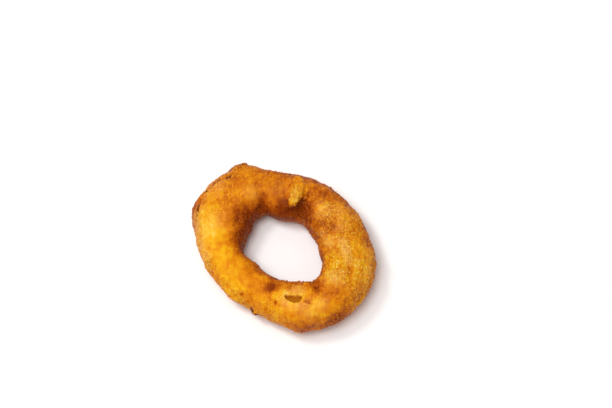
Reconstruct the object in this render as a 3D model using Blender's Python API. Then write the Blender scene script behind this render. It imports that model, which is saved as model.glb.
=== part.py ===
"""A battered and fried onion ring, lying flat with its better side up.

Metres, +Z up. The origin is under the middle of the ring's box, on the surface that it lies on.
+X runs to the ring's right and +Y to its top, as it is looked at from above.
A place on the surface has a turn, in degrees anticlockwise round the hoop from +X, and a lean, in
degrees round the band's section: 0 is the outer side, 90 the crown, 180 the inner side.
"""

import math

import bpy
from mathutils import Matrix, Vector, noise

MM = 0.001

# The hoop's line and section, every 30 degrees of turn, in millimetres.
MIDDLE_RADIUS = (26.0, 23.5, 23.7, 24.6, 31.1, 29.9, 26.6, 22.0, 21.3, 24.5, 29.4, 30.1)
BAND_WIDTH = (21.8, 20.9, 19.5, 20.8, 23.5, 24.3, 18.1, 17.6, 15.9, 18.5, 21.6, 22.4)
THICKNESS = (18.0, 18.5, 17.5, 17.0, 18.0, 18.5, 17.0, 16.5, 16.5, 17.5, 18.5, 18.5)

SECTIONS = 116
SECTION_POINTS = 40
SQUARENESS = 2.25
FLATTENED = 0.9 * MM

# Relief of the batter: uneven coating, then smaller swells.
COATING_HEIGHT, COATING_ACROSS = 0.6 * MM, 13 * MM
SWELL_HEIGHT, SWELL_ACROSS = 0.35 * MM, 5.5 * MM
NOISE_START = Vector((3.1, 7.4, 1.9))

# Lumps and hollows of the batter: turn, lean, reach in mm, height in mm.
LUMPS = (
    (116, 12, 5.0, 3.2),  # crumbly corner, top left
    (134, -5, 6.0, 2.8),
    (152, -8, 7.0, 4.4),  # left shoulder
    (151, 200, 6.0, 1.2),  # foot of the wall behind it
    (106, 190, 4.0, 1.2),
    (225, 0, 4.5, 1.6),
    (279, -8, 5.0, 2.4),  # lowest corner
    (315, 180, 5.0, -2.4),  # corner of the hole
    (344, 180, 4.0, 1.4),
    (346, -5, 7.0, 1.2),  # right flank
    (285, 62, 6.0, 0.8),  # dome under the blister
    (38, 97, 5.0, 0.8),
    (346, 97, 6.0, 0.7),
    (121, 108, 5.0, 0.9),  # lobe on the top band
    (112, 128, 3.0, -0.8),  # groove beside it
    (62, 140, 4.5, -1.8),  # fold behind the drip
    (306, 128, 4.0, -1.1),  # crease, lower right of the hole
)

# A drip of batter over the top band, from its start to its tip: turn, lean, reach and height in mm.
DRIP_START = (68, 80, 2.4, 1.0)
DRIP_TIP = (80, 140, 2.0, 2.6)
DRIP_STEPS = 6

# A burst blister on the lower band: its place, then its length, width and depth.
BLISTER_TURN, BLISTER_LEAN = 282, 94
BLISTER_SIZE = Vector((7.2, 2.8, 3.8)) * MM

BATTER_COLOUR = (0.72, 0.30, 0.045, 1.0)
BATTER_ROUGHNESS = 0.5


def clear_scene():
    for obj in list(bpy.data.objects):
        bpy.data.objects.remove(obj)


def fried_batter():
    material = bpy.data.materials.new("fried batter")
    material.use_nodes = True
    shader = material.node_tree.nodes["Principled BSDF"]
    shader.inputs["Base Color"].default_value = BATTER_COLOUR
    shader.inputs["Roughness"].default_value = BATTER_ROUGHNESS
    shader.inputs["Metallic"].default_value = 0.0
    return material


def round_the_hoop(stations, turn):
    """A smooth value at a turn, through evenly spaced stations."""
    place = turn % 360 / 360 * len(stations)
    first = int(place)
    part = place - first
    before, start, end, after = (stations[(first + step) % len(stations)] for step in (-1, 0, 1, 2))
    slope_in, slope_out = (end - before) / 2, (after - start) / 2
    return (
        start
        + slope_in * part
        + (3 * (end - start) - 2 * slope_in - slope_out) * part**2
        + (2 * (start - end) + slope_in + slope_out) * part**3
    )


def squared(value):
    """A sine or cosine pushed out from a circle towards a rounded square."""
    return math.copysign(abs(value) ** (2 / SQUARENESS), value)


def plain_point(turn, lean):
    """The middle of the band at a turn, and the smooth hoop's surface at that turn and lean."""
    angle, tilt = math.radians(turn), math.radians(lean)
    half_width = round_the_hoop(BAND_WIDTH, turn) * MM / 2
    half_height = round_the_hoop(THICKNESS, turn) * MM / 2
    outward = Vector((math.cos(angle), math.sin(angle), 0))
    upward = Vector((0, 0, 1))
    middle = outward * round_the_hoop(MIDDLE_RADIUS, turn) * MM + upward * (half_height - FLATTENED)
    across = outward * half_width * squared(math.cos(tilt))
    return middle, middle + across + upward * half_height * squared(math.sin(tilt))


def drip():
    """The drip as a row of lumps that grow towards its tip."""
    for step in range(DRIP_STEPS):
        part = step / (DRIP_STEPS - 1)
        yield tuple(start + (end - start) * part for start, end in zip(DRIP_START, DRIP_TIP))


def relief(point, lumps):
    """Height of the batter over the smooth hoop."""
    coating = COATING_HEIGHT * noise.noise(point / COATING_ACROSS + NOISE_START)
    swell = SWELL_HEIGHT * noise.noise(point / SWELL_ACROSS + NOISE_START)
    lumpy = sum(
        height * math.exp(-(point - centre).length_squared / reach**2)
        for centre, reach, height in lumps
    )
    return coating + swell + lumpy


def make_hoop():
    """A torus whose points move to the batter's surface, cut off flat where it lies."""
    lumps = [
        (plain_point(turn, lean)[1], reach * MM, height * MM)
        for turn, lean, reach, height in (*LUMPS, *drip())
    ]
    bpy.ops.mesh.primitive_torus_add(
        major_segments=SECTIONS, minor_segments=SECTION_POINTS, major_radius=1, minor_radius=0.5
    )
    hoop = bpy.context.object
    hoop.name = "onion_ring"
    for vertex in hoop.data.vertices:
        across, along, up = vertex.co
        turn = math.degrees(math.atan2(along, across))
        lean = math.degrees(math.atan2(up, math.hypot(across, along) - 1))
        middle, point = plain_point(turn, lean)
        point += (point - middle).normalized() * relief(point, lumps)
        point.z = max(point.z, 0)
        vertex.co = point
    hoop.data.shade_smooth()
    hoop.data.materials.append(fried_batter())
    return hoop


def centre_on_box(obj):
    """Moves an object so that the middle of its box is over the origin."""
    for axis in (0, 1):
        places = [vertex.co[axis] for vertex in obj.data.vertices]
        obj.location[axis] = -(min(places) + max(places)) / 2


def cut_blister(hoop):
    """Takes out of the crown a lens that stands half out of it, its length along the hoop."""
    middle, place = plain_point(BLISTER_TURN, BLISTER_LEAN)
    angle = math.radians(BLISTER_TURN)
    along = Vector((-math.sin(angle), math.cos(angle), 0))
    outward = (place - middle).normalized()
    across = outward.cross(along)
    bpy.ops.mesh.primitive_ico_sphere_add(subdivisions=2, radius=0.5)
    cutter = bpy.context.object
    cutter.name = "blister_cutter"
    cutter.parent = hoop
    cutter.location = place
    cutter.rotation_euler = Matrix((along, across, outward)).transposed().to_euler()
    cutter.scale = BLISTER_SIZE
    cutter.hide_render = True
    cutter.display_type = "WIRE"
    cut = hoop.modifiers.new("blister", "BOOLEAN")
    cut.object = cutter


clear_scene()
ring = make_hoop()
centre_on_box(ring)
cut_blister(ring)
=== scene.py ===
"""The looks of one battered and fried onion ring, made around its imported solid.

A place on the band has a turn, in degrees anticlockwise round the hoop from +X, and a lean, in
degrees round the band's section: 0 is the outer side, 90 the crown, 180 the inner side.
The surface is worked out in millimetres and becomes metres when its mesh is written.
"""

import math

import bpy
import numpy as np
from bpy.props import FloatProperty, FloatVectorProperty, IntProperty, PointerProperty
from mathutils import Matrix, Vector, noise
from mathutils.bvhtree import BVHTree


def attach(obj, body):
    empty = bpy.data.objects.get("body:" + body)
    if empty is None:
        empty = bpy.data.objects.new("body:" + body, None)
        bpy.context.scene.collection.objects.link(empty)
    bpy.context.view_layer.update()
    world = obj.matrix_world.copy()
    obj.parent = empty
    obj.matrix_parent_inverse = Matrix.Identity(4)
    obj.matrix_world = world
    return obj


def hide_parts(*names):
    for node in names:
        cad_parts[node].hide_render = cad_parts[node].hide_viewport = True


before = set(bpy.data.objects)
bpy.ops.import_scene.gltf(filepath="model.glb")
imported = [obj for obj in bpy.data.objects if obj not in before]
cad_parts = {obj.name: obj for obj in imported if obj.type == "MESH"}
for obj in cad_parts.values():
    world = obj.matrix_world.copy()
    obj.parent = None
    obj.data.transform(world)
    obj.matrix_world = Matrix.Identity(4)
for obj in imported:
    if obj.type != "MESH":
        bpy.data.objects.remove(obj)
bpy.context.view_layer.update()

bl_info = {
    "name": "Fried onion ring",
    "version": (1, 0, 0),
    "blender": (4, 5, 0),
    "location": "3D View > Sidebar > Onion ring",
    "description": "Makes the batter, crumbs and burnt flecks of an onion ring, and a plain stage for it",
    "category": "Add Mesh",
}

MM = 0.001
SOLID, SLOT, BODY = "onion_ring", "fried_batter", "root"

# The hoop's own centre, halfway up the band, and a distance from it that is past the outer side.
# Then about how far it is round the hoop and round the band's section, all in mm.
HOOP_CENTRE = Vector((0.9, -1.5, 8.2))
OUT_OF_REACH = 60
ROUND_HOOP, ROUND_SECTION = 170, 62

# How much closer together the grid's columns are at one turn, and its rows at the crown.
CROWDED_TURN, CROWDING = 290, 0.25
CROWN_CROWDING = 0.42

# How widely the solid's facets, and the blister cut into it, are smoothed over, in mm.
SOLID_FACET, SOLID_CUT = 1.7, 4

# The grain: its usual amount, what the outer side adds, how uneven it is, its least and its most.
USUAL_GRAIN, OUTER_GRAIN, UNEVEN_GRAIN = 0.6, 0.6, 0.35
GRAIN_LIMITS = 0.08, 1.2

# Domes of batter: their reach next to their spacing, then their usual height and its spread.
DOME_REACH, DOME_HEIGHT, DOME_SPREAD = 0.85, 0.45, 0.55

# How far apart in the noise neighbouring domes look up their own heights.
HEIGHTS_APART = 9.7

# How deep the fried bumps are sunk, and the height and width of the smaller ones next to the larger.
BUMP_SUNK, SMALL_BUMP_HEIGHT, SMALL_BUMP_WIDTH = 0.35, 0.5, 0.55

# Swells and hollows of the batter: turn, lean, reach in mm, height in mm.
SWELLS = (
    (119, 111, 3.2, 0.9),  # lobe on the top band
    (247, -8, 1.7, 1.2),  # burnt crumb at the lower left
    (100, 104, 4.0, 0.35),
    (34, 97, 3.8, 0.75),
    (357, 116, 2.6, 0.6),
    (353, 90, 2.4, 0.45),
    (344, 86, 2.4, 0.4),
    (330, 104, 3.2, 0.55),
    (320, 100, 3.5, 0.45),
    (349, 60, 5.0, 0.4),
    (24, 66, 4.0, 0.35),
    (277, 52, 6.0, 0.55),  # dome under the blister
    (300, 60, 6.0, 0.5),
    (277, 39, 1.6, 0.3),
    (214, 82, 1.8, 0.45),
    (203, 60, 4.0, 0.25),
    (163, 84, 6.0, 0.3),
    (259, 113, 3.0, -0.6),
    (309, 118, 2.6, -0.5),
    (81, 140, 2.2, -1.4),  # tip of the drip, pared down
    (75, 145, 2.0, -1.6),
    (66, 140, 2.5, -0.5),
    (92, 93, 3.5, 0.2),
)

# Folds and ridges: reach and height in mm, then the turns and leans that each one passes, with
# its half width there in mm if it is a broad one.
FOLDS = (
    # drip of batter
    (0.7, 1.2, ((76, 60, 1.4), (74, 80, 2.1), (71.5, 100, 2.1), (71, 110, 1.8), (73, 121, 0.9))),
    # folds on either side of it
    (1.4, -0.8, ((61, 98), (63, 108), (65, 121), (67, 139), (67, 158))),
    (1.3, -0.7, ((85, 100), (83, 114), (82, 134))),
    # grooves down the inner wall
    (1.4, -0.8, ((111, 104), (110, 121), (116, 155))),
    (1.3, -0.4, ((94, 118), (93, 140), (94, 160))),
    (1.2, -0.4, ((85, 122), (84, 145))),
    # seam at the upper left
    (0.8, -0.5, ((126, 55), (133, 48), (139, 41), (145, 37), (151, 49), (155, 52), (161, 40))),
    # crease beside the hole
    (1.4, -0.7, ((306, 150), (306, 118), (302, 104))),
    # hollows between lumps of the right band
    (1.2, -0.5, ((22, 134), (17, 114), (12, 94), (2, 84))),
    (1.1, -0.55, ((349, 118), (343, 104), (338, 92), (334, 76))),
)

# The burst blister's opening: turn, then the leans of its lower and upper edges.
OPENING = (
    (274.3, 93, 96),
    (275.4, 88.5, 97.5),
    (277, 86, 98.5),
    (280.5, 84.8, 99.5),
    (283, 82.3, 99.5),
    (285, 81.8, 98.8),
    (287, 84.2, 97),
    (289.5, 89, 93.5),
)
MM_FOR_DEGREE_OF_TURN, MM_FOR_DEGREE_OF_LEAN = 0.5, 0.165

# The slit beside it: turn, lean and half width in mm.
SLIT = ((289.5, 83, 0.0), (292, 79, 0.45), (294.5, 74, 0.0))
OPENING_DEPTH, SLIT_DEPTH = 1.6, 0.8

# How ragged their edges are, and how far from an edge, in mm, its slope starts and ends.
OPENING_RAGGED, SLIT_RAGGED = 1.2, 0.6
OPENING_SLOPE, SLIT_SLOPE = (-0.35, 0.15), (-0.2, 0.25)

# The opening's raised lip, in mm: its height, how far it is from the edge, and its reach.
LIP_HEIGHT, LIP_FROM_EDGE, LIP_REACH = 0.25, 0.45, 0.5

# Pin holes where steam broke through: turn, lean, reach and depth in mm.
PIN_HOLES = (
    (265.8, 68, 0.8, 1.0),
    (232.7, 37, 0.6, 1.0),
    (126, 54, 0.7, 0.5),
    (201, 66, 0.5, 0.3),
    (311, 62, 0.5, 0.4),
)

# Burnt marks along the seam at the upper left, and the burnt crumb at the lower left edge: the
# turns, leans and half widths in mm that each one passes.
BURNT_MARKS = (
    ((124.5, 59, 0.2), (128, 55, 0.3)),
    ((131, 50.5, 0.2), (135.5, 45, 0.35)),
    ((137.5, 44, 0.2), (141, 39.5, 0.4)),
    ((150, 50, 0.2), (155, 49, 0.5), (161, 42, 0.4)),
    ((242, 3, 0.3), (246, -5, 0.8), (249, -12, 0.9)),
)

# How far a mark reaches past its width, in mm, and the noise over which it comes out of its gaps.
BURNT_REACH, BURNT_GAPS = 0.25, (-0.3, 0.1)

# Where the batter is smoother or grainier than usual: turn, lean, reach in mm, change.
GRAIN_PLACES = (
    (168, 90, 7.0, -0.6),
    (195, 90, 7.0, -0.55),
    (175, 35, 4.0, 0.7),
    (190, 36, 4.0, 0.7),
    (162, 45, 4.0, 0.5),
    (220, 80, 9.0, -0.35),
    (245, 75, 8.0, -0.3),
    (100, 125, 9.0, -0.5),
    (285, 45, 8.0, -0.45),
    (285, 76, 4.5, -0.35),
    (303, 60, 6.0, -0.25),
    (280, 122, 5.0, 0.3),
    (350, 95, 12.0, 0.35),
    (325, 95, 9.0, 0.45),
    (20, 95, 10.0, 0.3),
    (116, 20, 7.0, 0.5),
    (74, 90, 3.5, 0.8),
    (73, 112, 3.0, 0.8),
)

# Dry, floury places on lumps and rims, many of them painted sheen on lit lumps: turn, lean, reach in mm,
# share.
FLOURY_AND_SHEEN_PLACES = (
    (34, 97, 3.5, 0.4),
    (8, 129, 2.5, 0.3),
    (10, 87, 2.5, 0.35),
    (355, 118, 2.5, 0.5),
    (354, 91, 2.4, 0.65),
    (345, 87, 2.4, 0.65),
    (338, 80, 2.0, 0.4),
    (321, 95, 3.0, 0.35),
    (320, 111, 2.5, 0.35),
    (350, 23, 4.0, 0.25),
    (339, 28, 3.0, 0.25),
    (160, 40, 3.5, 0.5),
    (168, 33, 3.0, 0.6),
    (177, 33, 3.5, 0.6),
    (187, 33, 3.5, 0.5),
    (160, 90, 3.5, 0.35),
    (135, 62, 4.0, 0.25),
    (73, 105, 3.0, 0.35),
    (288, 108, 2.6, 0.5),
    (278, 107, 2.2, 0.3),
    (275, 80, 2.2, 0.5),
    (284, 76, 2.6, 0.4),
    (290, 60, 4.0, 0.25),
    (301, 71, 2.6, 0.25),
    (24, 70, 4.0, 0.2),
    (119, 112, 3.5, 0.2),
    (92, 93, 4.0, 0.1),
    (326, 30, 7.0, 0.1),
)

# Where the batter stands in knobs, seen best along the outline: turn, lean, reach in mm, share.
KNOBBLY_PLACES = (
    (116, 10, 5.0, 1.0),
    (98, 45, 4.0, 0.4),
    (78, 62, 3.5, 0.6),
    (74, 100, 3.5, 0.8),
    (160, 25, 5.0, 0.6),
    (186, 25, 5.0, 0.6),
    (219, 18, 3.5, 0.9),
    (232, 15, 3.5, 1.0),
    (244, 8, 4.0, 1.0),
    (262, 0, 4.0, 0.4),
    (350, 12, 6.0, 0.9),
    (335, 12, 6.0, 0.6),
    (10, 15, 5.0, 0.5),
    (185, 142, 4.0, 0.7),
)
KNOB_ACROSS, KNOB_HEIGHT = 2.6, 0.75

# Where crumbs cling, on the outer edge and the rims of the hole: turn, lean, reach in mm, share.
CRUMBLY_PLACES = (
    (116, 10, 5.0, 0.8),
    (350, 12, 6.0, 0.8),
    (5, 15, 5.0, 0.6),
    (330, 12, 6.0, 0.5),
    (185, 142, 3.5, 0.6),
    (175, 36, 4.0, 0.4),
    (190, 36, 4.0, 0.4),
    (238, 5, 4.0, 0.9),
    (225, 5, 4.0, 0.6),
    (73, 110, 2.6, 0.7),
    (310, 20, 6.0, 0.3),
    (95, 20, 6.0, 0.4),
)

# The share of crumbs on grain, the grain over which they come, and the heights in mm over which they
# come above the foot.
CRUMBS_ON_GRAIN, CRUMBLY_GRAIN, FOOT_HEIGHTS = 0.4, (0.35, 0.9), (0.6, 1.6)

# The browning goes from 0, pale, to 1, burnt, and carries painted light and shade too. What is usual,
# what the inner wall adds, partly as painted shade, what the underside adds, and what clouds, smaller
# patches and streaks change.
USUAL_TONE, WALL_TONE_AND_SHADE, UNDERSIDE_TONE = 0.4, 0.22, 0.1
CLOUD_TONE, PATCH_TONE, STREAK_TONE = 0.11, 0.1, 0.07
STREAK_SIZE = np.array((0.9, 5.0, 5.0))

# The leans over which the inner wall comes and goes, then the underside's middle and its reach.
WALL_COMES, WALL_GOES = (118, 170), (215, 300)
UNDERSIDE_LEAN, UNDERSIDE_REACH = 270, 60

# What swells and bumps change, as painted highlight on their tops and painted shade in their hollows,
# what the blister's lips change, what depth in openings changes as painted shade, what burnt marks
# change, and the most without burns.
SWELL_HIGHLIGHT_AND_SHADE, BUMP_HIGHLIGHT_AND_SHADE, LIP_TONE = -0.1, -0.14, -0.06
RECESS_SHADE_TONE, BURNT_TONE, BROWNEST_UNBURNT = 0.28, 0.7, 0.78

# Browner and paler places of the crust, some of them painted shade and painted highlight: turn, lean,
# reach in mm, change of browning.
TINTS_AND_PAINTED_LIGHT = (
    # right band, paler on its lit lumps as painted highlight
    (1, 58, 6.0, -0.08),
    (10, 85, 4.0, -0.1),
    (12, 105, 4.0, 0.12),
    (24, 102, 3.0, 0.06),
    (34, 93, 5.0, -0.08),
    (50, 75, 6.0, 0.15),
    (50, 108, 4.0, 0.14),
    (57, 65, 4.0, -0.07),
    (330, 110, 3.0, -0.14),
    (334, 108, 4.0, -0.16),
    (337, 54, 5.0, -0.1),
    (338, 86, 4.0, -0.1),
    (345, 45, 8.0, -0.1),
    (345, 88, 9.0, 0.06),
    (350, 90, 3.5, -0.18),
    # top band, its outer side darker as painted shade
    (72, 98, 2.8, -0.07),
    (72, 116, 2.2, -0.24),
    (91, 95, 3.5, 0.07),
    (100, 75, 8.0, 0.12),
    (119, 112, 3.5, -0.09),
    (122, 85, 4.0, 0.12),
    # left band
    (155, 65, 5.0, -0.12),
    (165, 70, 8.0, -0.14),
    (185, 70, 8.0, -0.12),
    (206, 62, 4.0, 0.08),
    (220, 50, 6.0, -0.14),
    (223, 76, 3.5, 0.1),
    (229, 45, 4.0, -0.12),
    (232, 100, 5.0, 0.1),
    # lower band and the blister's rim
    (259, 103, 2.5, 0.1),
    (260, 113, 2.5, 0.25),
    (262, 102, 3.0, 0.1),
    (270, 88, 4.0, -0.14),
    (276, 82, 2.4, -0.08),
    (277, 55, 6.0, -0.05),
    (277, 106, 1.6, -0.25),
    (280, 66, 5.0, 0.08),
    (280, 76, 3.0, -0.06),
    (283, 104, 1.6, -0.3),
    (287, 78, 2.4, -0.01),
    (289, 101, 1.6, -0.16),
    (291, 70, 3.0, -0.04),
    (293, 86, 2.5, 0.14),
    (293, 94, 1.6, -0.14),
    (296, 117, 2.0, -0.14),
    (298, 58, 5.0, -0.06),
    (298, 74, 2.4, -0.07),
    (302, 94, 2.0, 0.1),
    (302, 102, 3.5, 0.13),
    (305, 64, 2.6, -0.04),
    (308, 48, 4.0, -0.04),
    (309.5, 82, 2.4, 0.08),
    (312, 66, 7.0, 0.1),
    (316, 72, 2.4, 0.08),
    (318, 98, 5.0, -0.1),
    # inner wall, browner partly as painted shade
    (22, 134, 3.5, 0.1),
    (47, 134, 3.5, 0.3),
    (65, 122, 2.8, 0.4),
    (65, 142, 3.5, 0.35),
    (86, 124, 2.8, 0.34),
    (105, 155, 8.0, 0.15),
    (111, 122, 2.5, 0.14),
    (143, 118, 5.0, 0.16),
    (150, 150, 8.0, 0.24),
    (180, 150, 6.0, 0.05),
    (280, 121, 4.0, 0.1),
    (306, 125, 3.5, 0.12),
    (359, 118, 2.5, -0.16),
    # outer side, darker partly as painted shade: a neighbouring ring's painted shadow near turns 62 to
    # 75, and painted shade by the floor near turns 283 and 303
    (0, 8, 7.0, 0.17),
    (20, 15, 8.0, 0.07),
    (38, 35, 6.0, 0.08),
    (55, 20, 10.0, 0.1),
    (62, 38, 5.0, 0.12),
    (75, 40, 5.0, 0.16),
    (90, 20, 9.0, 0.14),
    (116, 12, 6.0, 0.2),
    (153, 26, 4.5, 0.28),
    (162, 28, 2.5, 0.16),
    (163, 36, 2.5, 0.1),
    (166, 22, 4.0, 0.16),
    (175, 38, 3.5, -0.06),
    (190, 38, 3.5, -0.12),
    (283, 5, 6.0, 0.25),
    (303, 5, 6.0, 0.25),
    (324, 22, 7.0, -0.04),
    (335, 4, 7.0, 0.07),
)

# Where each colour of the batter stands on the browning scale, from pale to burnt.
COLOUR_STOPS = 0.0, 0.22, 0.42, 0.62, 0.8, 1.0

# The space left free above and below each strip of the map for baking.
MAP_MARGIN = 0.01

# Scales of the materials' patterns, which are laid out in metres, and the middle of their values.
MOTTLE_SCALE, WANDER_SCALE, CELL_SCALE = 620, 1100, 1350
OIL_SCALE, GRIT_SCALE, CHAR_SCALE = 1300, 2300, 900
MIDDLE = 0.5

# How far the material's cells are pushed about, how deep its bumps are, and how far light goes in.
WANDER_DISTANCE, BUMP_DISTANCE, GLOW_DISTANCE = 0.9 * MM, 0.28 * MM, 1.5 * MM

# How far the mottling and the small cells of the crust change its browning, the cells' edges darker as
# painted shade, then how quickly the painted glints in the cells come up and how light they get.
MOTTLE_TONE, CELL_TONE = 0.26, 0.1
GLINT_STEEPNESS, LIGHTEST_GLINT = 23, 0.3

# A crumb: its flattest and fullest stretch on three axes, the smallest one next to the largest, how
# far and how finely its shape wanders, and how far it may be turned about each axis.
FLATTEST_CRUMB, FULLEST_CRUMB = (0.5, 0.4, 0.2), (1.1, 0.8, 0.5)
SMALLEST_CRUMB, CRUMB_WANDER, CRUMB_WANDER_SCALE = 0.3, 0.8, 2600.0
ANY_ANGLE = 6.28, 6.28, 6.28

# The picture, in its own pixels: its width, its middle, and where the ring's middle shows.
PICTURE_WIDTH, PICTURE_MIDDLE, RING_PIXEL = 612, (306.0, 204.0), (283.5, 248.0)

# The camera's sensor, and the height in the ring that stands at that place in the picture, in mm.
SENSOR_WIDTH, SIGHTED_HEIGHT = 36, 9

# The lights: how far off they stand, in metres, then the side that each is on and its size in metres.
LIGHT_DISTANCE = 0.9
SOFT_BOX_SIDE, SOFT_BOX_SIZE = (-0.12, -0.15, 0.98), 0.5
LAMP_SIDE, LAMP_SIZE = (-0.42, 0.22, 0.88), 0.22

# Half the floor's width and how far it is below the ring, in metres.
FLOOR_HALF, FLOOR_BELOW = 2.0, 0.05 * MM


def from_display(red, green, blue):
    """The linear colour that shows as these display values from 0 to 255."""
    def linear(value):
        share = value / 255
        return share / 12.92 if share <= 0.04045 else ((share + 0.055) / 1.055) ** 2.4
    return linear(red), linear(green), linear(blue)


def colour_property(name, description, display):
    return FloatVectorProperty(
        name=name, description=description, default=from_display(*display), subtype="COLOR", min=0, max=1
    )


class BatterSettings(bpy.types.PropertyGroup):
    """Fineness, relief and colours of the batter"""

    columns: IntProperty(name="Columns", description="Points round the hoop", default=560, min=60)
    rows: IntProperty(name="Rows", description="Points round the band's section", default=168, min=24)
    lobe_height: FloatProperty(
        name="Lobes", description="Height of the batter's soft lobes, in mm", default=0.45, min=0
    )
    grain_height: FloatProperty(
        name="Grain", description="Height of the fried bumps, in mm", default=0.42, min=0
    )
    grain_across: FloatProperty(
        name="Grain size", description="Width of a fried bump, in mm", default=1.2, min=0.2
    )
    grit_height: FloatProperty(
        name="Grit", description="Height of the finest bumps of the mesh, in mm", default=0.16, min=0
    )
    pale: colour_property("Pale", "Thin batter at burst blisters", (250, 212, 100))
    golden: colour_property("Golden", "Lightly fried batter", (241, 176, 20))
    amber: colour_property("Amber", "Usual colour of the crust", (222, 129, 10))
    tan: colour_property("Tan", "Well fried batter", (182, 88, 7))
    # Brown also gives the painted shade on the inner wall and in hollows.
    brown: colour_property("Brown", "Inner wall and hollows", (132, 50, 4))
    burnt: colour_property("Burnt", "Burnt crumbs and edges", (46, 20, 8))
    # Floury also stands for painted sheen on lit lumps.
    floury_and_sheen: colour_property("Floury", "Dry batter on lumps and rims", (245, 180, 90))
    # Hollow: the blister's inside, partly its own colour, partly painted shade.
    hollow: colour_property("Hollow", "Inside of the burst blister", (168, 98, 2))


class CrumbSettings(bpy.types.PropertyGroup):
    """How many crumbs and flecks there are, and how large"""

    crumb_density: FloatProperty(
        name="Crumbs", description="Crumbs for each square metre where they are thickest", default=1300000
    )
    crumb_size: FloatProperty(
        name="Crumb size", description="Radius of the largest crumb", default=0.55 * MM, unit="LENGTH"
    )
    fleck_density: FloatProperty(
        name="Flecks", description="Burnt flecks for each square metre where they are thickest",
        default=1500000,
    )
    fleck_size: FloatProperty(
        name="Fleck size", description="Radius of the largest fleck", default=0.6 * MM, unit="LENGTH"
    )
    seed: IntProperty(name="Seed", description="Another scatter of crumbs", default=4)


class StageSettings(bpy.types.PropertyGroup):
    """The camera, the lights and the floor"""

    lens: FloatProperty(name="Lens", description="Focal length, in mm", default=85)
    distance: FloatProperty(
        name="Distance", description="From the camera to the ring", default=0.61, unit="LENGTH"
    )
    forward_tilt: FloatProperty(
        name="Forward tilt", description="How far the camera leans towards the front from straight above",
        default=math.radians(24), subtype="ANGLE",
    )
    side_tilt: FloatProperty(
        name="Side tilt", description="How far the camera leans to the right",
        default=math.radians(8), subtype="ANGLE",
    )
    soft_power: FloatProperty(
        name="Soft light", description="Power of the soft box overhead", default=3.95, unit="POWER"
    )
    hard_power: FloatProperty(
        name="Hard light", description="Power of the small lamp at the upper left",
        default=2.2, unit="POWER",
    )
    sky: FloatProperty(name="Surrounding light", description="Strength of the white world", default=0.45)
    floor: colour_property("Floor", "Plain pale floor", (253, 253, 253))


class Wire:
    """A node's output. A sum written with it adds Math nodes to its tree."""

    def __init__(self, graph, socket):
        self.graph = graph
        self.socket = socket

    def math(self, operation, *values):
        return self.graph.add("ShaderNodeMath", dict(enumerate(values)), operation=operation)

    def above_zero(self):
        return self.math("MAXIMUM", self, 0)

    def at_most(self, limit):
        return self.math("MINIMUM", self, limit)

    def __add__(self, other):
        return self.math("ADD", self, other)

    def __sub__(self, other):
        return self.math("SUBTRACT", self, other)

    def __rsub__(self, other):
        return self.math("SUBTRACT", other, self)

    def __mul__(self, other):
        return self.math("MULTIPLY", self, other)

    __radd__ = __add__
    __rmul__ = __mul__


class Graph:
    """Adds nodes to the tree of a material or of Geometry Nodes."""

    def __init__(self, tree):
        self.tree = tree

    def add(self, kind, values=(), output=0, stops=(), **settings):
        """Adds a node, sets its settings and its inputs, and returns one of its outputs."""
        node = self.tree.nodes.new(kind)
        for name, setting in settings.items():
            setattr(node, name, setting)
        for index, (place, colour) in enumerate(stops):
            elements = node.color_ramp.elements
            element = elements[index] if index < len(elements) else elements.new(place)
            element.position = place
            element.color = (*colour, 1)
        for name, value in dict(values).items():
            self.feed(node.inputs[name], value)
        return Wire(self, node.outputs[output]) if len(node.outputs) else None

    def attribute(self, name):
        """A mesh attribute's value, in a material."""
        return self.add("ShaderNodeAttribute", output="Fac", attribute_name=name)

    def mixed(self, share, colour, other):
        """The first colour, with a share of another one."""
        colours = {0: share, 6: colour, 7: (*other, 1)}
        return self.add("ShaderNodeMix", colours, output=2, data_type="RGBA")

    def feed(self, socket, value):
        if isinstance(value, Wire):
            self.tree.links.new(value.socket, socket)
        else:
            socket.default_value = value


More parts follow.
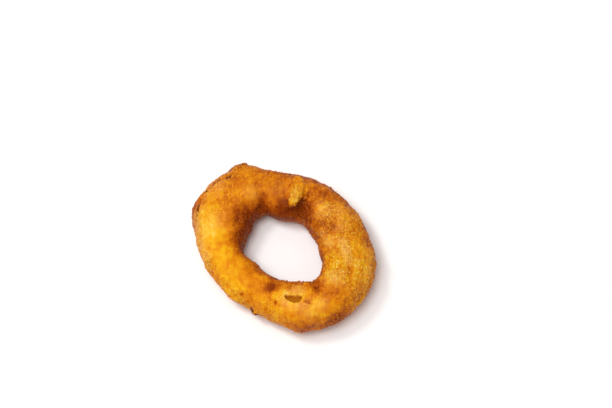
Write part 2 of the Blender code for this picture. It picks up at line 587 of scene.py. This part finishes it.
class Band:
    """The ring's surface as a grid in mm: columns go round the hoop, rows round the section."""

    def __init__(self, columns, rows):
        column = np.radians(np.arange(columns) * 360 / columns)
        row = np.radians(np.arange(rows) * 360 / rows)
        self.turns = column - CROWDING * np.sin(column - math.radians(CROWDED_TURN))
        self.leans = row + CROWN_CROWDING * np.cos(row)
        self.points = self.from_solid()
        self.measure_normals()
        self.raggedness = np.exp(0.8 * self.noise(2.6, seed=5.0))

    def from_solid(self):
        """Points where rays from the middle of the band meet the solid, freed of its facets."""
        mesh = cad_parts[SOLID].data
        corners = [vertex.co / MM for vertex in mesh.vertices]
        tree = BVHTree.FromPolygons(corners, [tuple(face.vertices) for face in mesh.polygons])
        middles, ways, reaches = [], [], []
        for turn in self.turns:
            outward = Vector((math.cos(turn), math.sin(turn), 0))
            inner = tree.ray_cast(HOOP_CENTRE, outward)[0]
            outer = tree.ray_cast(HOOP_CENTRE + outward * OUT_OF_REACH, -outward)[0]
            middle = (inner + outer) / 2
            half_width = (outer - inner).length / 2
            for lean in self.leans:
                across = outward * half_width * math.cos(lean)
                way = (across + Vector((0, 0, HOOP_CENTRE.z * math.sin(lean)))).normalized()
                middles.append(middle)
                ways.append(way)
                reaches.append(tree.ray_cast(middle, way)[3])
        shape = len(self.turns), len(self.leans)
        reach = np.array(reaches).reshape(shape)
        filled = np.maximum(reach, smoothed(reach, self.cells_for(SOLID_CUT, shape)))
        reach = np.where(self.gap_to_opening() < SOLID_CUT / 2, filled, reach)
        reach = smoothed(reach, self.cells_for(SOLID_FACET, shape))
        return np.array(middles).reshape(*shape, 3) + np.array(ways).reshape(*shape, 3) * reach[..., None]

    @staticmethod
    def cells_for(distance, shape):
        """About how many columns and rows a distance on the surface takes."""
        return distance / ROUND_HOOP * shape[0], distance / ROUND_SECTION * shape[1]

    def measure_normals(self):
        along = np.roll(self.points, -1, 0) - np.roll(self.points, 1, 0)
        around = np.roll(self.points, -1, 1) - np.roll(self.points, 1, 1)
        normals = np.cross(along, around)
        self.normals = normals / np.linalg.norm(normals, axis=-1, keepdims=True)

    def raise_by(self, height):
        """Moves the surface outwards by a height in mm at each point."""
        self.points = self.points + self.normals * height[..., None]
        self.points[..., 2] = self.points[..., 2].clip(0)
        self.measure_normals()

    def at(self, turn, lean):
        """The surface point nearest to a turn and lean in degrees."""
        column = nearest_angle(self.turns, math.radians(turn))
        row = nearest_angle(self.leans, math.radians(lean))
        return self.points[column, row]

    def near(self, turn, lean, reach):
        """1 at a place, falling away with distance, and with a ragged edge."""
        squares = ((self.points - self.at(turn, lean)) ** 2).sum(-1)
        return np.exp(-squares * self.raggedness / reach**2)

    def patches(self, places):
        """The sum of the amounts that rows of turn, lean, reach and amount give each point."""
        return sum(amount * self.near(turn, lean, reach) for turn, lean, reach, amount in places)

    def distance_to(self, path):
        """Distance in mm to a path, less its half width where the path gives one."""
        path = np.array([(*step, 0)[:3] for step in path], float)
        share = np.linspace(0, len(path) - 1, 12 * len(path))
        turns, leans, widths = (np.interp(share, range(len(path)), path[:, k]) for k in range(3))
        best = np.full(self.points.shape[:2], np.inf)
        for turn, lean, width in zip(turns, leans, widths):
            gap = np.linalg.norm(self.points - self.at(turn, lean), axis=-1) - width
            best = np.minimum(best, gap)
        return best

    def gap_to_opening(self):
        """About how far each point is from the blister's opening in mm, less than 0 inside."""
        turns, leans = np.degrees(self.turns)[:, None] % 360, np.degrees(self.leans)[None, :]
        steps, lowest, highest = np.array(OPENING).T
        lower, upper = np.interp(turns, steps, lowest), np.interp(turns, steps, highest)
        across = np.maximum(leans - upper, lower - leans) * MM_FOR_DEGREE_OF_LEAN
        along = np.maximum(turns - steps[-1], steps[0] - turns) * MM_FOR_DEGREE_OF_TURN
        return np.maximum(across, along)

    def noise(self, across, seed):
        """Smooth noise round zero that swings within a width in mm."""
        places = (self.points / across + seed).reshape(-1, 3).tolist()
        return np.array([noise.noise(place) for place in places]).reshape(self.points.shape[:2])

    def domes(self, across, seed):
        """Rounded bumps as high as 1, each of its own height, about as wide as given in mm."""
        heights = []
        for place in (self.points / across + seed).reshape(-1, 3).tolist():
            distances, centres = noise.voronoi(place)
            roundness = max(0, 1 - (distances[0] / DOME_REACH) ** 2)
            own_height = DOME_HEIGHT + DOME_SPREAD * noise.cell(centres[0] * HEIGHTS_APART)
            heights.append(roundness * own_height)
        return np.array(heights).reshape(self.points.shape[:2])


def nearest_angle(angles, wanted):
    """The index of the angle nearest to the wanted one, in radians."""
    return int(np.abs((angles - wanted + math.pi) % (2 * math.pi) - math.pi).argmin())


def smoothed(values, cells):
    """Blurs a grid that wraps round both ways."""
    for axis, spread in enumerate(cells):
        size = values.shape[axis]
        step = np.minimum(np.arange(size), size - np.arange(size))
        weight = np.exp(-0.5 * (step / spread) ** 2)
        weight = np.fft.fft(weight / weight.sum())
        weight = weight[:, None] if axis == 0 else weight[None, :]
        values = np.fft.ifft(np.fft.fft(values, axis=axis) * weight, axis=axis).real
    return values


def ramp(values, start, end):
    """0 before start, 1 after end and smooth between."""
    share = ((values - start) / (end - start)).clip(0, 1)
    return share * share * (3 - 2 * share)


def grain_of(band):
    """How grainy the crust is: most on its outer side and at the grainy places."""
    outer = (np.cos(band.leans) - 0.5).clip(0)
    grain = USUAL_GRAIN + OUTER_GRAIN * outer + UNEVEN_GRAIN * band.noise(7.0, seed=3.0)
    return (grain + band.patches(GRAIN_PLACES)).clip(*GRAIN_LIMITS)


def swell_of(band, lobe_height, grain, ragged):
    """Height in mm of the soft lobes, swells and folds over the solid."""
    lobes = band.noise(4.5, seed=20.0) + 0.6 * grain * band.noise(2.3, seed=23.0)
    swell = band.patches(SWELLS) + lobe_height * lobes
    uneven = 1 + 0.4 * band.noise(1.6, seed=17.0)
    for reach, height, path in FOLDS:
        away = (band.distance_to(path) + ragged).clip(0)
        swell = swell + height * np.exp(-((away / reach) ** 2)) * uneven
    return swell


def fried_bumps(band, across):
    """The fried grain: bumps of a width in mm, and smaller ones among them."""
    large = band.domes(across, seed=0.0) - BUMP_SUNK
    small = band.domes(SMALL_BUMP_WIDTH * across, seed=40.0) - BUMP_SUNK
    return large + SMALL_BUMP_HEIGHT * small


def singed_parts(band, ragged):
    """Where the crust is burnt: along the marks, with gaps."""
    marks = [(band.distance_to(mark) + ragged).clip(0) for mark in BURNT_MARKS]
    near_mark = np.exp(-((np.min(marks, axis=0) / BURNT_REACH) ** 2))
    return near_mark * ramp(band.noise(0.9, seed=71.0), *BURNT_GAPS)


def shape_batter(settings):
    """The finished surface, and over it the amounts that its colours and crumbs go by."""
    band = Band(settings.columns, settings.rows)
    grain = grain_of(band)
    ragged = 0.3 * band.noise(1.1, seed=11.0) + 0.2 * band.noise(0.5, seed=13.0)
    band.swell = swell_of(band, settings.lobe_height, grain, ragged)
    band.raise_by(band.swell)
    knobs = band.domes(KNOB_ACROSS, seed=80.0) * band.patches(KNOBBLY_PLACES).clip(0, 1)
    band.raise_by(KNOB_HEIGHT * knobs)
    band.bumps = fried_bumps(band, settings.grain_across)
    fine = settings.grain_height * band.bumps * grain + settings.grit_height * band.noise(0.7, seed=60.0)
    opening = band.gap_to_opening() + OPENING_RAGGED * ragged
    slit = band.distance_to(SLIT) + SLIT_RAGGED * ragged
    band.lips = np.exp(-(((opening - LIP_FROM_EDGE) / LIP_REACH) ** 2))
    band.hollow = 1 - ramp(opening, *OPENING_SLOPE)
    in_slit = 1 - ramp(slit, *SLIT_SLOPE)
    band.depth = OPENING_DEPTH * band.hollow + SLIT_DEPTH * in_slit + band.patches(PIN_HOLES)
    band.raise_by(fine * (1 - band.hollow) + LIP_HEIGHT * band.lips - band.depth)
    band.grain = grain * (1 - band.hollow)
    band.singed = singed_parts(band, ragged)
    return band


def browning_and_painted_light_of(band):
    """How brown the crust is, from 0, pale, to 1, burnt, with painted shade and painted highlights worked
    in.
    """
    leans = np.degrees(band.leans)
    # The inner wall is browner: partly its own browning, partly painted shade.
    wall = ramp(leans, *WALL_COMES) * (1 - ramp(leans, *WALL_GOES))
    underside = np.exp(-(((leans - UNDERSIDE_LEAN) / UNDERSIDE_REACH) ** 2))
    tone = USUAL_TONE + WALL_TONE_AND_SHADE * wall + UNDERSIDE_TONE * underside + band.patches(TINTS_AND_PAINTED_LIGHT)
    tone = tone + CLOUD_TONE * band.noise(6.0, seed=31.0) + PATCH_TONE * band.noise(2.2, seed=37.0)
    tone = tone + STREAK_TONE * band.noise(STREAK_SIZE, seed=47.0)
    # Painted highlight on the tops of swells and bumps, painted shade in their hollows.
    tone = tone + SWELL_HIGHLIGHT_AND_SHADE * band.swell.clip(-1, 1) + BUMP_HIGHLIGHT_AND_SHADE * band.bumps * band.grain
    tone = tone + LIP_TONE * band.lips * (1 + band.noise(1.5, seed=51.0))
    # Painted shade that deepens in the opening, the slit and the pin holes.
    tone = (tone + RECESS_SHADE_TONE * band.depth.clip(0, 1)).clip(0, BROWNEST_UNBURNT)
    return (tone + BURNT_TONE * band.singed).clip(0, 1)


def crumbly_parts(band):
    """Where crumbs cling: none at the foot, some on the grain, and most at the crumbly places."""
    above_foot = ramp(band.points[..., 2], *FOOT_HEIGHTS)
    on_grain = CRUMBS_ON_GRAIN * ramp(band.grain, *CRUMBLY_GRAIN)
    return above_foot * (on_grain + band.patches(CRUMBLY_PLACES)).clip(0, 1)


def closed_mesh(band, name):
    """A mesh of the grid, joined round both ways, with a map of two strips for baking."""
    columns, rows = band.points.shape[:2]
    column, row = np.meshgrid(np.arange(columns), np.arange(rows), indexing="ij")
    corners = ((column, row), (column + 1, row), (column + 1, row + 1), (column, row + 1))
    faces = np.stack([i % columns * rows + j % rows for i, j in corners], -1).reshape(-1, 4)
    mesh = bpy.data.meshes.new(name)
    mesh.from_pydata((band.points.reshape(-1, 3) * MM).tolist(), [], faces.tolist())
    strip, strip_height = column * 2 // columns, 1 - 2 * MAP_MARGIN
    across = np.stack([(i - strip * columns / 2) * 2 / columns for i, _ in corners], -1)
    upward = np.stack([(j / rows * strip_height + MAP_MARGIN + strip) / 2 for _, j in corners], -1)
    layer = mesh.uv_layers.new(name="OFBake")
    layer.data.foreach_set("uv", np.stack([across, upward], -1).ravel())
    mesh.shade_smooth()
    return mesh


def add_attribute(mesh, name, values):
    """Gives each point of a mesh a number that the materials or the crumbs read."""
    attribute = mesh.attributes.new(name, "FLOAT", "POINT")
    attribute.data.foreach_set("value", values.ravel().astype(np.float32))


def add_object(name, data):
    obj = bpy.data.objects.new(name, data)
    bpy.context.scene.collection.objects.link(obj)
    return obj


def new_material(name):
    """A material, the graph that adds nodes to it, and its shader."""
    material = bpy.data.materials.new(name)
    material.use_nodes = True
    return material, Graph(material.node_tree), material.node_tree.nodes["Principled BSDF"]


def set_sockets(shader, values):
    for name, value in values.items():
        shader.inputs[name].default_value = value


def batter_material(settings):
    """Crust coloured by its browning and painted light, mottled, with small cells of grain darker at
    their edges as painted shade, painted glints in the cells, and specks of oil.
    """
    material, graph, shader = new_material("fried_batter")
    place = graph.add("ShaderNodeTexCoord", output="Object")
    grain = graph.attribute("grain")
    mottle = graph.add("ShaderNodeTexNoise", {"Vector": place, "Scale": MOTTLE_SCALE, "Detail": 3})
    grit = graph.add("ShaderNodeTexNoise", {"Vector": place, "Scale": GRIT_SCALE, "Detail": 2})
    oil = graph.add("ShaderNodeTexNoise", {"Vector": place, "Scale": OIL_SCALE, "Detail": 2})

    wander = graph.add("ShaderNodeTexNoise", {"Vector": place, "Scale": WANDER_SCALE}, output="Color")
    wander = graph.add("ShaderNodeVectorMath", {0: wander, "Scale": WANDER_DISTANCE}, operation="SCALE")
    wander = graph.add("ShaderNodeVectorMath", {0: place, 1: wander}, operation="ADD")
    cells = {"Vector": wander, "Scale": CELL_SCALE}
    from_middle = graph.add("ShaderNodeTexVoronoi", cells, output="Distance")
    own_colour = graph.add("ShaderNodeTexVoronoi", cells, output="Color")
    shade = graph.add("ShaderNodeSeparateColor", {0: own_colour}, output=0)
    mottling, grittiness, roundness = mottle - MIDDLE, grit - MIDDLE, MIDDLE - from_middle

    # Painted glints: light specks in the middle of some cells.
    painted_glints = (shade - MIDDLE).above_zero() * roundness.above_zero() * (mottle - 0.3).above_zero()
    painted_glints = (painted_glints * GLINT_STEEPNESS).at_most(LIGHTEST_GLINT)
    # Each cell's own tone, darker towards its edges as painted shade, less the painted glints.
    cell_tone_and_painted_light = (shade - 0.3) * CELL_TONE + (from_middle - 0.38) * CELL_TONE - painted_glints
    tone = graph.attribute("browning_and_painted_light") + mottling * MOTTLE_TONE + cell_tone_and_painted_light * grain
    shades = settings.pale, settings.golden, settings.amber, settings.tan, settings.brown, settings.burnt
    stops = list(zip(COLOUR_STOPS, shades))
    colour = graph.add("ShaderNodeValToRGB", {"Fac": tone}, stops=stops)
    # Dry floury batter, and painted sheen on lit lumps, with the painted glints mixed in.
    floury_and_sheen = graph.attribute("floury_and_sheen") * (0.4 + shade) + painted_glints * grain * 0.4
    colour = graph.mixed(floury_and_sheen, colour, settings.floury_and_sheen)
    # Inside the blister's opening: partly its own colour, partly painted shade.
    colour = graph.mixed(graph.attribute("hollow"), colour, settings.hollow)
    roughness = 0.55 - grain * 0.2 + mottling * 0.3 + grittiness * 0.3
    height = roundness * grain + grittiness * grain + mottling * 0.5
    bump = {"Height": height, "Strength": 1.0, "Distance": BUMP_DISTANCE}

    graph.feed(shader.inputs["Base Color"], colour)
    graph.feed(shader.inputs["Roughness"], roughness)
    graph.feed(shader.inputs["Coat Weight"], (oil - MIDDLE).above_zero() * (grain + 0.2))
    graph.feed(shader.inputs["Normal"], graph.add("ShaderNodeBump", bump))
    set_sockets(shader, {
        "Coat Roughness": 0.25,
        "Subsurface Weight": 0.08,
        "Subsurface Radius": (1.0, 0.45, 0.12),
        "Subsurface Scale": GLOW_DISTANCE,
        "Specular IOR Level": 0.1,
        "Specular Tint": (1, 0.75, 0.4, 1),
    })
    return material


def fleck_material(settings):
    """Burnt batter with brown places."""
    material, graph, shader = new_material("burnt_fleck")
    place = graph.add("ShaderNodeTexCoord", output="Object")
    patch = graph.add("ShaderNodeTexNoise", {"Vector": place, "Scale": CHAR_SCALE, "Detail": 2})
    stops = (0.3, settings.brown), (0.6, settings.burnt)
    colour = graph.add("ShaderNodeValToRGB", {"Fac": patch}, stops=stops)
    graph.feed(shader.inputs["Base Color"], colour)
    graph.feed(shader.inputs["Roughness"], 0.4 + patch * 0.3)
    return material


def scatter_tree():
    """Geometry Nodes that strew small lumps over a surface where an attribute allows it."""
    tree = bpy.data.node_groups.new("strewn crumbs", "GeometryNodeTree")
    for name, kind in (
        ("Surface", "NodeSocketGeometry"),
        ("Where", "NodeSocketString"),
        ("Density", "NodeSocketFloat"),
        ("Largest", "NodeSocketFloat"),
        ("Seed", "NodeSocketInt"),
        ("Material", "NodeSocketMaterial"),
    ):
        tree.interface.new_socket(name, in_out="INPUT", socket_type=kind)
    tree.interface.new_socket("Crumbs", in_out="OUTPUT", socket_type="NodeSocketGeometry")
    graph = Graph(tree)
    given = tree.nodes.new("NodeGroupInput")
    surface, where, density, largest, seed, material = (Wire(graph, out) for out in given.outputs[:6])
    allowed = graph.add("GeometryNodeInputNamedAttribute", {"Name": where}, data_type="FLOAT")
    scattered = {"Mesh": surface, "Density": density * allowed, "Seed": seed}
    points = graph.add("GeometryNodeDistributePointsOnFaces", scattered, output="Points")
    lump = graph.add("GeometryNodeMeshIcoSphere", {"Radius": 1.0, "Subdivisions": 1}, output="Mesh")
    turned = graph.add(
        "FunctionNodeRandomValue", {"Min": (0, 0, 0), "Max": ANY_ANGLE, "Seed": seed},
        output="Value", data_type="FLOAT_VECTOR",
    )
    stretch = graph.add(
        "FunctionNodeRandomValue", {"Min": FLATTEST_CRUMB, "Max": FULLEST_CRUMB, "Seed": seed + 1},
        output="Value", data_type="FLOAT_VECTOR",
    )
    sizes = {2: SMALLEST_CRUMB, 3: 1.0, "Seed": seed + 2}
    share = graph.add("FunctionNodeRandomValue", sizes, output=1)
    size = graph.add("ShaderNodeVectorMath", {0: stretch, "Scale": largest * share}, operation="SCALE")
    placed = {"Points": points, "Instance": lump, "Rotation": turned, "Scale": size}
    crumbs = graph.add("GeometryNodeInstanceOnPoints", placed)
    crumbs = graph.add("GeometryNodeRealizeInstances", {"Geometry": crumbs})
    wander = graph.add("ShaderNodeTexNoise", {"Scale": CRUMB_WANDER_SCALE, "Detail": 1.0}, output="Color")
    offset = graph.add("ShaderNodeVectorMath", {0: wander, 1: (0.5, 0.5, 0.5)}, operation="SUBTRACT")
    scaled = {0: offset, "Scale": largest * CRUMB_WANDER}
    offset = graph.add("ShaderNodeVectorMath", scaled, operation="SCALE")
    crumbs = graph.add("GeometryNodeSetPosition", {"Geometry": crumbs, "Offset": offset})
    crumbs = graph.add("GeometryNodeSetMaterial", {"Geometry": crumbs, "Material": material})
    graph.add("NodeGroupOutput", {0: crumbs})
    return tree


def strew(name, surface, inputs):
    """A mesh piece of crumbs over a copy of a surface."""
    carrier = add_object("carrier", surface.data.copy())
    modifier = carrier.modifiers.new("strewn", "NODES")
    modifier.node_group = scatter_tree()
    for item in modifier.node_group.interface.items_tree:
        if item.name in inputs:
            modifier[item.identifier] = inputs[item.name]
    bpy.context.view_layer.update()
    evaluated = carrier.evaluated_get(bpy.context.evaluated_depsgraph_get())
    mesh = bpy.data.meshes.new_from_object(evaluated)
    bpy.data.objects.remove(carrier)
    if not mesh.polygons:
        raise RuntimeError(f"no crumbs were strewn for {name}")
    return add_object(name, mesh)


def keep_piece(piece):
    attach(piece, BODY)


class ONIONRING_OT_batter(bpy.types.Operator):
    """Makes the fried batter all round the ring"""

    bl_idname = "onion_ring.batter"
    bl_label = "Batter"

    def execute(self, context):
        settings = context.scene.onion_ring_batter
        band = shape_batter(settings)
        mesh = closed_mesh(band, "batter")
        add_attribute(mesh, "browning_and_painted_light", browning_and_painted_light_of(band))
        add_attribute(mesh, "grain", band.grain)
        add_attribute(mesh, "crumbly", crumbly_parts(band))
        add_attribute(mesh, "singed", band.singed)
        add_attribute(mesh, "floury_and_sheen", band.patches(FLOURY_AND_SHEEN_PLACES).clip(0, 1))
        add_attribute(mesh, "hollow", band.hollow)
        mesh.materials.append(batter_material(settings))
        batter = add_object("batter", mesh)
        keep_piece(batter)
        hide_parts(SOLID)
        return {"FINISHED"}


class ONIONRING_OT_crumbs(bpy.types.Operator):
    """Strews crumbs of fried batter and burnt flecks over the batter"""

    bl_idname = "onion_ring.crumbs"
    bl_label = "Crumbs and flecks"

    def execute(self, context):
        settings = context.scene.onion_ring_crumbs
        batter = bpy.data.objects["batter"]
        fleck = fleck_material(context.scene.onion_ring_batter)
        keep_piece(strew("crumbs", batter, {
            "Where": "crumbly", "Density": settings.crumb_density, "Largest": settings.crumb_size,
            "Seed": settings.seed, "Material": batter.data.materials[0],
        }))
        keep_piece(strew("burnt_flecks", batter, {
            "Where": "singed", "Density": settings.fleck_density, "Largest": settings.fleck_size,
            "Seed": settings.seed, "Material": fleck,
        }))
        return {"FINISHED"}


def camera_axes(settings):
    """Right, up and back of a camera that looks straight at the ring."""
    aside, ahead = math.sin(settings.side_tilt), math.sin(settings.forward_tilt)
    back = Vector((aside, -ahead, math.sqrt(1 - aside**2 - ahead**2)))
    up = (Vector((0, 1, 0)) - back * back.y).normalized()
    return up.cross(back), up, back


def add_camera(settings):
    """A camera that shows the ring left of and below the middle of the picture."""
    data = bpy.data.cameras.new("camera")
    data.lens = settings.lens
    data.sensor_width = SENSOR_WIDTH
    camera = add_object("camera", data)
    right, up, back = camera_axes(settings)
    ring = Vector((HOOP_CENTRE.x, HOOP_CENTRE.y, SIGHTED_HEIGHT)) * MM
    pixel = settings.distance * data.sensor_width / data.lens / PICTURE_WIDTH
    aim = ring + right * (PICTURE_MIDDLE[0] - RING_PIXEL[0]) * pixel
    aim = aim + up * (RING_PIXEL[1] - PICTURE_MIDDLE[1]) * pixel
    eye = ring + back * settings.distance
    back = (eye - aim).normalized()
    up = (Vector((0, 1, 0)) - back * back.y).normalized()
    turned = Matrix((up.cross(back), up, back)).transposed().to_4x4()
    camera.matrix_world = Matrix.Translation(eye) @ turned
    bpy.context.scene.camera = camera


def add_light(name, side, size, power):
    """A square light that faces the ring from one side."""
    data = bpy.data.lights.new(name, "AREA")
    data.size = size
    data.energy = power
    light = add_object(name, data)
    light.location = Vector(side).normalized() * LIGHT_DISTANCE
    light.rotation_euler = light.location.to_track_quat("Z", "Y").to_euler()


def add_floor(settings):
    mesh = bpy.data.meshes.new("floor")
    sides = (-1, -1), (1, -1), (1, 1), (-1, 1)
    corners = [(FLOOR_HALF * x, FLOOR_HALF * y, -FLOOR_BELOW) for x, y in sides]
    mesh.from_pydata(corners, [], [(0, 1, 2, 3)])
    material, _, shader = new_material("floor")
    set_sockets(shader, {
        "Base Color": (*settings.floor, 1), "Roughness": 0.9, "Specular IOR Level": 0.2,
    })
    mesh.materials.append(material)
    add_object("floor", mesh)


class ONIONRING_OT_stage(bpy.types.Operator):
    """Adds the pale floor, the soft light and the camera"""

    bl_idname = "onion_ring.stage"
    bl_label = "Stage"

    def execute(self, context):
        settings = context.scene.onion_ring_stage
        add_camera(settings)
        add_light("soft_box", SOFT_BOX_SIDE, SOFT_BOX_SIZE, settings.soft_power)
        add_light("lamp", LAMP_SIDE, LAMP_SIZE, settings.hard_power)
        add_floor(settings)
        world = bpy.data.worlds.new("studio")
        world.use_nodes = True
        background = world.node_tree.nodes["Background"]
        set_sockets(background, {"Color": (1, 1, 1, 1), "Strength": settings.sky})
        context.scene.world = world
        context.scene.view_settings.view_transform = "Standard"
        return {"FINISHED"}


class VIEW3D_PT_onion_ring(bpy.types.Panel):
    bl_label = "Onion ring"
    bl_space_type = "VIEW_3D"
    bl_region_type = "UI"
    bl_category = "Onion ring"

    def draw(self, context):
        for group, operator in (
            (context.scene.onion_ring_batter, "onion_ring.batter"),
            (context.scene.onion_ring_crumbs, "onion_ring.crumbs"),
            (context.scene.onion_ring_stage, "onion_ring.stage"),
        ):
            box = self.layout.box()
            for name in type(group).__annotations__:
                box.prop(group, name)
            box.operator(operator)


CLASSES = (
    BatterSettings,
    CrumbSettings,
    StageSettings,
    ONIONRING_OT_batter,
    ONIONRING_OT_crumbs,
    ONIONRING_OT_stage,
    VIEW3D_PT_onion_ring,
)


def register():
    for cls in CLASSES:
        bpy.utils.register_class(cls)
    bpy.types.Scene.onion_ring_batter = PointerProperty(type=BatterSettings)
    bpy.types.Scene.onion_ring_crumbs = PointerProperty(type=CrumbSettings)
    bpy.types.Scene.onion_ring_stage = PointerProperty(type=StageSettings)


def unregister():
    del bpy.types.Scene.onion_ring_stage
    del bpy.types.Scene.onion_ring_crumbs
    del bpy.types.Scene.onion_ring_batter
    for cls in reversed(CLASSES):
        bpy.utils.unregister_class(cls)


def main():
    register()
    bpy.ops.onion_ring.stage()
    bpy.ops.onion_ring.batter()
    bpy.ops.onion_ring.crumbs()


if __name__ == "__main__":
    main()
